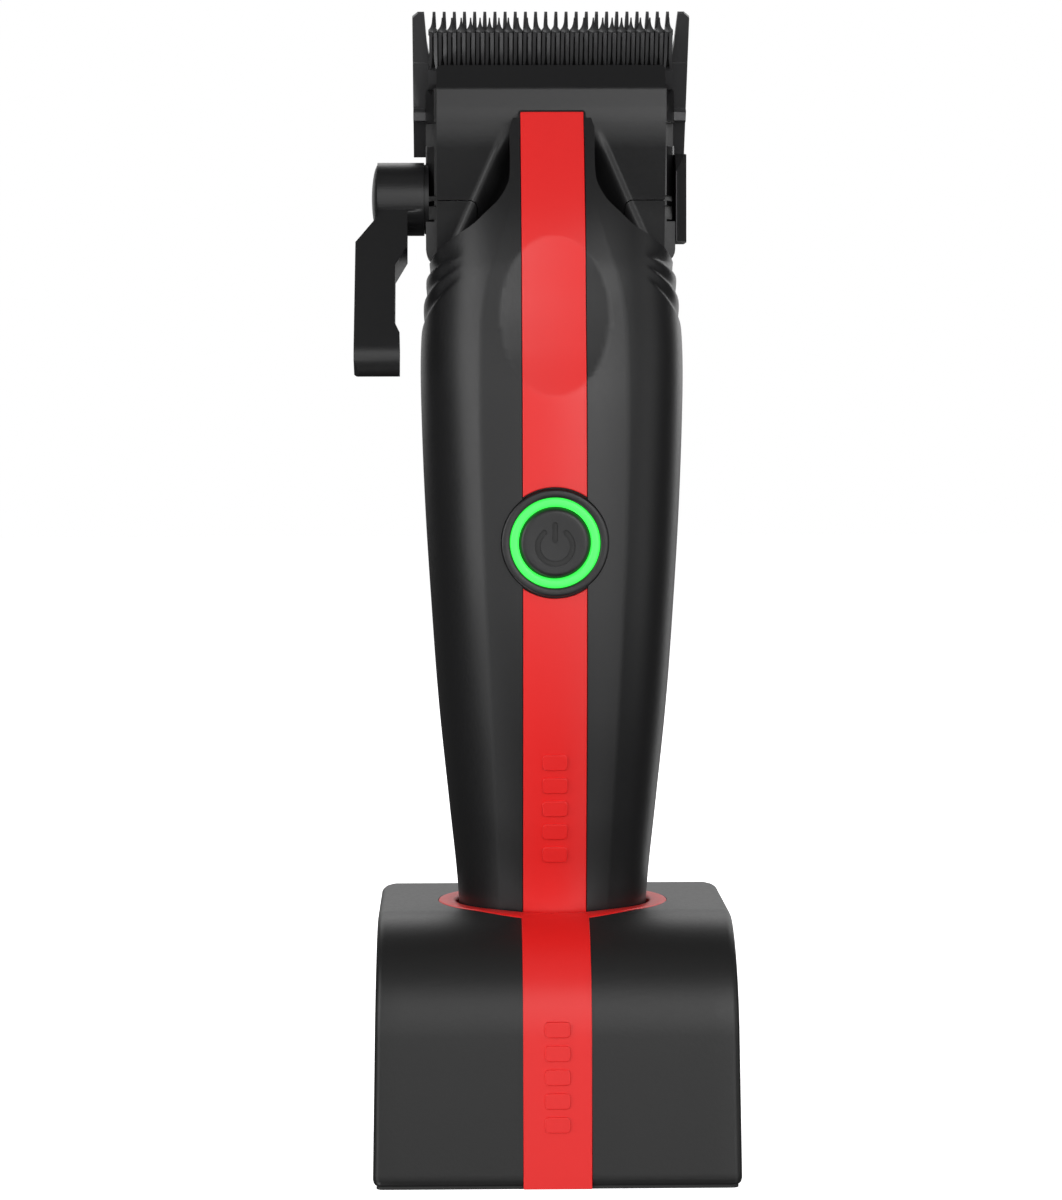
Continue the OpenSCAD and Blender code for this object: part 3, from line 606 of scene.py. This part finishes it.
def lid_y(z):
    """Front of the lid, with every bend but the upper crease softened."""
    if z > 178.5:
        return lid_face(z)
    return sum(lid_face(z + d) for d in (-1.6, -0.8, 0, 0.8, 1.6)) / 5


def ridge(x, z):
    """Height of the lid's ridge beside the neck, and of the valley between them."""
    out = abs(x) - (7.8 + 0.456 * (172.5 - z))
    if out > 0:
        height = 0.38 * (1 - smooth(0, 1.2, out))
    else:
        height = 0.38 - 1.8 * smooth(0.1, 4.2, -out)
    return height * (1 - smooth(169.5, 174.5, z))


def lid_slab():
    """The lid as a skin over the whole face of the head, with deep edges left and right."""
    xs = [HEAD_HALF * k / 96 for k in range(-96, 97)]
    low, high = 151.9, 184.6
    zs = [low + (high - low) * i / 110 for i in range(111)]
    zs = sorted(set([z for z in zs if abs(z - 180.6) > 0.2] + [180.6]))
    outer = [[(x, lid_y(z) - ridge(x, z), z) for x in reversed(xs)] for z in zs]

    def back_of(x, y):
        return 0.6 if abs(x) > 17.7 else max(y + 0.3, min(0.55, y + 1.4))

    inner = [[(x, back_of(x, y), z) for x, y, z in row] for row in outer]
    return finish_mesh(shell("lid_slab", outer, inner))


def lid_piece(name, outline):
    tool = finish_mesh(prism(name + "_outline", rounded_path(outline), -12, 4, from_front))
    piece = combine(lid_slab(), tool, "INTERSECT")
    return finish_mesh(piece, bevel=0.22, segments=3, angle=38, sharp=30)


def make_lid():
    gap = 0.07
    h, s, c = HEAD_HALF - 0.02, SEAM_Z, CORNER_X
    cover = [(-h, s + gap, 0.25), (-c - 1.1, s + gap, 0), (-c - 0.25, s - 0.35, 0),
             (-c + gap, s - 1.3, 0), (-c + gap, 156.6, 0.3), (c - gap, 156.6, 0.3),
             (c - gap, s - 1.3, 0), (c + 0.25, s - 0.35, 0), (c + 1.1, s + gap, 0),
             (h, s + gap, 0.25), (h, 184.5, 0.7), (-h, 184.5, 0.7)]
    stand_for(lid_piece("lid", cover), "head_cover")
    left = [(-h, 152.0, 0.3), (-c - gap, 152.0, 0.3), (-c - gap, s - gap, 1.35),
            (-h, s - gap, 0.25)]
    right = [(-u, v, r) for u, v, r in reversed(left)]
    pair = join("lid_corners", [lid_piece("corner_left", left), lid_piece("corner_right", right)])
    stand_for(finish_mesh(pair, bevel=0.2, segments=3, angle=38, sharp=30), "head_corner_covers")


# ---- blades ---------------------------------------------------------------------------

CUTTER_TEETH, CUTTER_PITCH = 26, 1.58
# Along one cutter spike: distance below the blade tips, half width, side height, ridge height
SPIKE = [[0.75, 0.12, 0.26, 0.4], [1.4, 0.16, 0.28, 0.55], [2.0, 0.25, 0.32, 0.7],
         [2.5, 0.4, 0.36, 0.82], [2.85, 0.6, 0.38, 0.9], [3.05, 0.78, 0.4, 0.95],
         [3.9, 0.79, 0.4, 0.95]]
# Along one rib between two spikes: distance below the blade tips, half width, edge height
RIB = [[3.05, 0.655, 1.0], [5.0, 0.655, 1.2], [7.4, 0.655, 1.4], [8.2, 0.59, 1.42],
       [9.1, 0.48, 1.44], [10.1, 0.4, 1.46]]


def loft(name, sections):
    """A closed solid through outlines that all have the same number of points."""
    verts = [point for section in sections for point in section]
    n, faces = len(sections[0]), []
    for i in range(len(sections) - 1):
        for j in range(n):
            a, b = i * n + j, i * n + (j + 1) % n
            faces.append((a, b, b + n, a + n))
    last = (len(sections) - 1) * n
    faces += [tuple(reversed(range(n))), tuple(range(last, last + n))]
    return build(name, verts, faces)


def cutter_spike(x):
    """The free end of one cutter tooth, shaped like a roof."""
    sections = []
    for along, half, side, top in SPIKE:
        outline = [(-half, 0.02), (half, 0.02), (half, side), (0, top), (-half, side)]
        sections.append([blade_place(x + dx, -along, q) for dx, q in outline])
    return loft("spike", sections)


def cutter_rib(x, side):
    """Half of the rib between two spikes; side is -1 for its left slope and 1 for its right one."""
    near = 0.09 if side < 0 else 0.14
    root, slope = 0.3, 0.3
    sections = []
    for along, half, edge in RIB:
        outline = [(half, root), (half, edge), (near, edge + slope * (half - near)), (near, root)]
        if side > 0:
            outline.reverse()
        sections.append([blade_place(x + side * dx, -along, q) for dx, q in outline])
    return loft("rib", sections)


def blade_bar(name, low, high):
    """A block in blade coordinates: x, along, out."""
    outline = [(low[0], low[1]), (high[0], low[1]), (high[0], high[1]), (low[0], high[1])]
    return finish_mesh(prism(name, outline, low[2], high[2], blade_place))


def make_cutter():
    places = [(k - (CUTTER_TEETH - 1) / 2) * CUTTER_PITCH for k in range(CUTTER_TEETH)]
    half_pitch = CUTTER_PITCH / 2
    spikes = join("spikes", [cutter_spike(x) for x in places])
    ribs = join("ribs", [cutter_rib(x + half_pitch, -1) for x in places] +
                        [cutter_rib(x - half_pitch, 1) for x in places])
    edge, waist = 20.6, 13
    top, step, foot = -9.9, -12.5, -18
    outline = [(-edge, top), (-edge, step), (-waist, step), (-waist, foot), (waist, foot),
               (waist, step), (edge, step), (edge, top)]
    body = finish_mesh(prism("cutter_body", outline, 0.02, 1.8, blade_place))
    body = combine(body, finish_mesh(spikes), "UNION")
    bed = blade_bar("tooth_bed", (-20.4, -10.2, 0.02), (20.4, -3.3, 0.4))
    cutter = combine(combine(body, bed, "UNION"), finish_mesh(ribs), "UNION")
    # A plate behind the teeth in the dark inner finish: painted shade for the deep gaps between the
    # teeth.
    outline = [(-20.1, -3.6), (-20.1, -9.95), (20.1, -9.95), (20.1, -3.6)]
    shade_backing = finish_mesh(prism("tooth_shade_backing", outline, 0.3, 0.46, blade_place))
    extra(shade_backing, "cutter", "black_inner")
    stand_for(finish_mesh(cutter, bevel=0.035, segments=1, angle=30, sharp=20), "cutter_blade")


def make_blades():
    make_cutter()
    fixed = refined("fixed_blade", bevel=0.0)
    for side in (-1, 1):
        low, high = sorted((side * 20.4, side * 24))
        cut(fixed, blade_bar("score", (low, -9.5, -0.12), (high, -9.3, 1)))
    stand_for(finish_mesh(fixed, bevel=0.07, segments=2, angle=40, sharp=30), "fixed_blade")


# ---- lever and plates -----------------------------------------------------------------

def along_lever_axis(u, v, h):
    return (h, LEVER_AXIS[0] + u, LEVER_AXIS[1] + v)


def make_lever():
    stand_for(refined("taper_lever", bevel=0.32, segments=3), "taper_lever")
    rise, radius, spread, brim = 1.05, 6.05, 1.35, -29.25

    def lift(a):
        return rise * (math.cos(a) - math.cos(spread)) / (1 - math.cos(spread))

    dome = [(radius * math.sin(a), brim - lift(a)) for a in np.linspace(0.0002, spread, 20)]
    cap = lathe("lever_dome", dome + [(5.75, -28.9), (0.001, -28.9)], along_lever_axis, 96)
    stand_for(finish_mesh(cap, sharp=50, weld=0.002), "lever_cap")
    bore, rim, outer, inner = 2.1, 5.9, -21.36, -20.6
    washer = lathe("lever_washer", [(bore, outer), (rim, outer), (rim, inner), (bore, inner)],
                   along_lever_axis, 96)
    extra(finish_mesh(washer), "clipper", "lever_black")


def make_side_plate():
    """The retaining plate, with its front edge cut at a slant."""
    plate = refined("side_plate", bevel=0.0)
    points = [plate.matrix_world @ v.co / MM for v in plate.data.vertices]
    outer, front = max(v.x for v in points), min(v.y for v in points)
    corner = [(outer + 1, front - 0.5), (outer + 1, front + 4.9), (outer - 2.05, front - 0.5)]
    cut(plate, finish_mesh(prism("plate_chamfer", corner, 150, 190, straight_up)))
    stand_for(finish_mesh(plate, bevel=0.2, segments=3, angle=30), "side_plate")


def make_chassis():
    """The chassis block: slanted corners beside the lid, slots in them, a ledge on each side."""
    chassis = refined("head_chassis", bevel=0.0)
    for side in (-1, 1):
        edge = side * 21.1
        corner = [(edge + side * 0.4, 0.2), (edge + side * 0.4, 5.2), (edge - side * 1.75, 0.2)]
        cut(chassis, finish_mesh(prism("side_chamfer", corner, 158.5, 185, straight_up)))
        for low, high in ((158.9, 161.2), (162.0, 162.9), (171.2, 175.2)):
            x0, x1 = sorted((side * 19.35, side * 20.75))
            slot = [(x0, low), (x1, low), (x1, high), (x0, high)]
            cut(chassis, finish_mesh(prism("slot", slot, 0.2, 3.3, from_front)))
    stand_for(finish_mesh(chassis, bevel=0.2, segments=3, angle=35), "head_chassis")
    low, high = 175.7, 177.3
    for side in (-1, 1):
        x0, x1 = sorted((side * 20.9, side * 23.05))
        ledge = prism("ledge", [(x0, low), (x1, low), (x1, high), (x0, high)], 5.0, 7.6, from_front)
        extra(finish_mesh(ledge, bevel=0.15, segments=2), "clipper", "blade_black")


# ---- charging stand -------------------------------------------------------------------

DRAFT = 0.025
EDGE_R = 1.3
BACK_R = 6.0
BACK_EDGE_R = 2.5
FOOT_Z, FOOT_R, FOOT_TUCK = 0.35, 1.3, 1.1
INNER_FOOT_Z = 1.2
MIDDLE_Y = (STAND_BACK - STAND_FRONT) / 2
# Centre of the big round along the front upper edge
ROUND_Y, ROUND_Z = FRONT_ROUND - STAND_FRONT, STAND_H - FRONT_ROUND


def stand_side(d, outer):
    """Side outline of the stand, from the foot at the back over the top to the front foot."""
    r, rb = FRONT_ROUND - d, BACK_EDGE_R
    if outer:
        foot = [FOOT_Z, FOOT_Z + 0.12, FOOT_Z + 0.35, FOOT_Z + 0.7, FOOT_Z + FOOT_R]
    else:
        foot = [INNER_FOOT_Z, 1.3, 1.4, 1.6, 1.9]
    low = 2.5
    path = [(STAND_BACK - d, z) for z in foot]
    path += [(STAND_BACK - d, low + (STAND_H - rb - low) * k / 8) for k in range(9)]
    path += [(STAND_BACK - rb + (rb - d) * math.cos(a), STAND_H - rb + (rb - d) * math.sin(a))
             for a in np.linspace(0.15, math.pi / 2, 8)]
    back, front = STAND_BACK - rb, ROUND_Y
    path += [(back + (front - back) * k / 20, STAND_H - d) for k in range(1, 20)]
    path += [(ROUND_Y + r * math.cos(a), ROUND_Z + r * math.sin(a))
             for a in np.linspace(math.pi / 2, math.pi, 40)]
    path += [(-STAND_FRONT + d, ROUND_Z + (low - ROUND_Z) * k / 6) for k in range(1, 7)]
    return path + [(-STAND_FRONT + d, z) for z in reversed(foot)]


def top_of_stand(y):
    """Height of the stand's upper face, which falls away along the big front round."""
    past = max(0.0, ROUND_Y - y)
    return ROUND_Z + math.sqrt(FRONT_ROUND ** 2 - past ** 2)


def shaped_stand(x, y, z):
    """Draft on the sides, round back corners and a rounded foot."""
    half = STAND_W / 2
    plan = 1.0
    if y > STAND_BACK - BACK_R:
        reach = min(1.0, (y - STAND_BACK + BACK_R) / BACK_R)
        plan = (half - BACK_R * (1 - math.sqrt(1 - reach ** 2 * 0.9999))) / half
    low = max(0.0, FOOT_Z + FOOT_R - z) / FOOT_R
    tuck = FOOT_TUCK * (1 - math.sqrt(max(0.0, 1 - low * low)))
    x *= plan * (1 - DRAFT * z / STAND_H) * (1 - tuck / half)
    return (x, MIDDLE_Y + (y - MIDDLE_Y) * (1 - tuck / (STAND_BACK - MIDDLE_Y)), z)


def into_front(y, z, depth):
    """A point of the front face or its round, moved into the stand by depth."""
    if z <= ROUND_Z:
        return y + depth, z
    share = 1 - depth / math.hypot(y - ROUND_Y, z - ROUND_Z)
    return ROUND_Y + (y - ROUND_Y) * share, ROUND_Z + (z - ROUND_Z) * share


def stand_row(x, inset, wall, shrink=1.0, deep=0.0):
    """The side outline at one x, shrunk towards its foot or with the stripe's groove in it."""
    foot = INNER_FOOT_Z if wall else FOOT_Z
    points = []
    for y, z in stand_side(wall + inset, not wall):
        if deep and (y < -RING_OUT + 1.6 or (y < 0 and z < 20)):
            y, z = into_front(y, z, deep)
        y = MIDDLE_Y + (y - MIDDLE_Y) * shrink
        points.append(shaped_stand(x, y, foot + (z - foot) * shrink))
    return points


def stand_grid(wall):
    """Rows across the width; each row is the side outline, pushed in near the edges."""
    half = STAND_W / 2 - wall
    r = max(0.3, EDGE_R - wall)
    groove_half = STAND_STRIPE_HALF + 0.08
    groove = 0.0 if wall else 0.9
    flat = half - r

    def side_rows(side):
        block = [stand_row(side * half, r, wall, k / 9) for k in range(0, 9)]
        block += [stand_row(side * (flat + r * math.cos(a)), r * (1 - math.sin(a)), wall)
                  for a in np.linspace(0, math.pi / 2, 7)]
        return block + [stand_row(side * (flat + (groove_half - flat) * k / 7), 0, wall)
                        for k in range(1, 8)]

    across = np.linspace(groove_half - 0.02, -groove_half + 0.02, 7)
    return side_rows(1) + [stand_row(x, 0, wall, deep=groove) for x in across] + side_rows(-1)[::-1]


def make_stand():
    skin = finish_mesh(shell("stand_skin", stand_grid(0), stand_grid(2.4)), weld=0.003)
    socket_r, ledge_r, ledge_z = 18.05, RING_OUT + 0.06, STAND_H - 1.2
    socket = [(0.001, 18), (socket_r, 18), (socket_r, ledge_z), (ledge_r, ledge_z),
              (ledge_r, STAND_H + 4), (0.001, STAND_H + 4)]
    cut(skin, finish_mesh(lathe("socket_tool", socket, straight_up, 144), weld=0.002))
    inlet = rounded_path([(-5.1, 10.9, 0.8), (5.1, 10.9, 0.8), (5.1, 15.1, 0.8), (-5.1, 15.1, 0.8)])
    cut(skin, finish_mesh(prism("inlet_tool", inlet, STAND_BACK - 4, STAND_BACK + 2, from_front)))
    stand_for(finish_mesh(skin, bevel=0.14, segments=2, angle=45, sharp=34), "stand_shell")
    ring = lathe("trim_ring", [(RING_IN, -1.15), (RING_IN + 0.02, -0.4), (RING_IN + 0.2, -0.03),
                               (RING_IN + 0.5, 0.1), (RING_OUT - 0.35, 0.12),
                               (RING_OUT - 0.1, 0.06), (RING_OUT, -0.1), (RING_OUT, -1.15)],
                 lambda u, v, h: (u, v, top_of_stand(v) + h), 200)
    stand_for(finish_mesh(ring, sharp=50), "socket_ring")
    make_stand_stripe()


def stand_band(half, over, under):
    """Grids of a strip that follows the front of the stand from the ring to the foot."""
    start = math.acos((-RING_IN - 0.35 - ROUND_Y) / FRONT_ROUND)
    xs = np.linspace(half, -half, 17)
    grids = []
    for d in (over, under):
        r = FRONT_ROUND - d
        line = [(ROUND_Y + r * math.cos(a), ROUND_Z + r * math.sin(a))
                for a in np.linspace(start, math.pi, 44)]
        line += [(-STAND_FRONT + d, ROUND_Z + (FOOT_Z + FOOT_R - ROUND_Z) * k / 12)
                 for k in range(1, 13)]
        foot = [[(x, -STAND_FRONT + d, 0.05) for x in xs]]
        rows = [shaped_stand(0, y, z)[1:] for y, z in reversed(line)]
        grids.append(foot + [[(x, y, z) for x in xs] for y, z in rows])
    return grids


def make_stand_stripe():
    band = shell("stand_insert", *stand_band(STAND_STRIPE_HALF, -0.14, 0.86))
    stand_for(finish_mesh(band, bevel=0.14, segments=2, angle=50), "stand_stripe")


# ---- raised bars on the stripes -------------------------------------------------------

def raised_bars(name, body, low, face):
    """Five rounded blocks, one above another from height low, a little proud of a stripe."""
    half_w, half_h, corner = 2.1, 1.3, 0.7
    outline = rounded_path([(-half_w, -half_h, corner), (half_w, -half_h, corner),
                            (half_w, half_h, corner), (-half_w, half_h, corner)])
    heights = [low + 3.9 * k for k in range(5)]
    bars = [prism("bar", outline, -0.34, 0.3, lambda u, v, h: (u, face(0, z + v) + h, z + v))
            for z in heights]
    extra(finish_mesh(join(name, bars), bevel=0.16, segments=3, angle=50), body, "red_stripe")


def make_bars():
    raised_bars("clipper_bars", "clipper", 53.0, front_y)
    raised_bars("stand_bars", "stand", 10.6, lambda x, z: -STAND_FRONT - 0.1)


make_body()
make_button()
make_lid()
make_blades()
make_lever()
make_side_plate()
make_chassis()
make_stand()
make_bars()


# ---- plain floor, lights and camera ---------------------------------------------------

def area(name, place, target, size, power):
    light = bpy.data.lights.new(name, "AREA")
    light.shape = "RECTANGLE"
    light.size, light.size_y = size
    light.energy = power
    obj = bpy.data.objects.new(name, light)
    bpy.context.collection.objects.link(obj)
    obj.location = place
    obj.rotation_euler = (Vector(target) - Vector(place)).to_track_quat("-Z", "Y").to_euler()
    return obj


# Soft lights: azimuth from the front (positive to the right), elevation, size in metres, power,
# and whether they show in reflections
LIGHTS = [
    ("front_box", 17, 18, (0.70, 0.62), 3.1, True),
    ("front_left_box", -20, 18, (0.50, 0.62), 1.25, True),
    ("key_box", 20, 14, (0.26, 0.62), 0.9, True),
    ("right_box", 45, 12, (0.40, 0.7), 1.2, True),
    ("right_side_box", 80, 6, (0.5, 0.9), 1.2, True),
    ("left_box", -60, 12, (0.66, 0.85), 5.3, True),
    ("low_front_box", 4, -9, (1.5, 0.32), 2.1, True),
    ("low_left_box", -52, -20, (0.6, 0.4), 1.0, True),
    ("low_right_box", 34, -22, (0.5, 0.35), 0.7, True),
    ("teeth_left_box", -56, -55, (0.4, 0.4), 1.9, True),
    ("teeth_right_box", 56, -55, (0.4, 0.4), 0.5, True),
    ("top_box", 0, 68, (0.9, 0.3), 0.15, True),
    ("back_box", 176, 40, (1.6, 0.62), 6.2, True),
    ("backdrop_box", 176, 8, (1.6, 0.3), 1.2, True),
    ("right_rim_box", 150, -2, (0.3, 1.0), 0.9, True),
    ("fill_box", 0, 52, (1.0, 1.0), 1.6, False),
]


def make_studio():
    reach = 3
    floor = build("floor", [(-reach, -reach, 0), (reach, -reach, 0), (reach, reach, 0),
                            (-reach, reach, 0)], [(0, 1, 2, 3)], scale=1.0)
    mat = bpy.data.materials.new("floor_white")
    mat.use_nodes = True
    shader = mat.node_tree.nodes["Principled BSDF"]
    shader.inputs["Base Color"].default_value = (0.9, 0.9, 0.9, 1)
    shader.inputs["Roughness"].default_value = 0.9
    shader.inputs["Emission Color"].default_value = (1, 1, 1, 1)
    shader.inputs["Emission Strength"].default_value = 1.0
    floor.data.materials.append(mat)
    for kind in ("diffuse", "glossy", "shadow", "transmission"):
        setattr(floor, "visible_" + kind, False)
    world = bpy.data.worlds.new("studio")
    bpy.context.scene.world = world
    world.use_nodes = True
    nodes, links = world.node_tree.nodes, world.node_tree.links
    back = nodes["Background"]
    back.inputs["Color"].default_value = (1, 1, 1, 1)
    back.inputs["Strength"].default_value = 0.04
    white = nodes.new("ShaderNodeBackground")
    white.inputs["Color"].default_value = (1, 1, 1, 1)
    white.inputs["Strength"].default_value = 1.0
    seen = nodes.new("ShaderNodeLightPath")
    mix = nodes.new("ShaderNodeMixShader")
    links.new(seen.outputs["Is Camera Ray"], mix.inputs["Fac"])
    links.new(back.outputs[0], mix.inputs[1])
    links.new(white.outputs[0], mix.inputs[2])
    links.new(mix.outputs[0], nodes["World Output"].inputs["Surface"])
    middle, distance = Vector((0, 0, 0.11)), 1.1
    for name, azimuth, elevation, size, power, reflected in LIGHTS:
        a, e = math.radians(azimuth), math.radians(elevation)
        towards = Vector((math.sin(a) * math.cos(e), -math.cos(a) * math.cos(e), math.sin(e)))
        area(name, middle + towards * distance, middle, size, power).visible_glossy = reflected
    scene = bpy.context.scene
    scene.view_settings.view_transform = "Standard"
    scene.view_settings.look = "None"


def make_camera():
    data = bpy.data.cameras.new("camera")
    data.lens = 115
    data.sensor_width = 36
    cam = bpy.data.objects.new("camera", data)
    bpy.context.collection.objects.link(cam)
    reach, side, height = 0.650, math.radians(1.4), 0.128
    yaw, pitch, roll = math.radians(1.09), math.radians(-2.955), math.radians(0.16)
    cam.location = (-reach * math.sin(side), -reach * math.cos(side), height)
    forward = Vector((math.sin(yaw) * math.cos(pitch), math.cos(yaw) * math.cos(pitch),
                      math.sin(pitch)))
    right = forward.cross(Vector((0, 0, 1))).normalized()
    up = right.cross(forward)
    turned = Matrix.Rotation(roll, 3, forward)
    right, up = turned @ right, turned @ up
    cam.rotation_euler = Matrix((right, up, -forward)).transposed().to_euler()
    bpy.context.scene.camera = cam


make_studio()
make_camera()
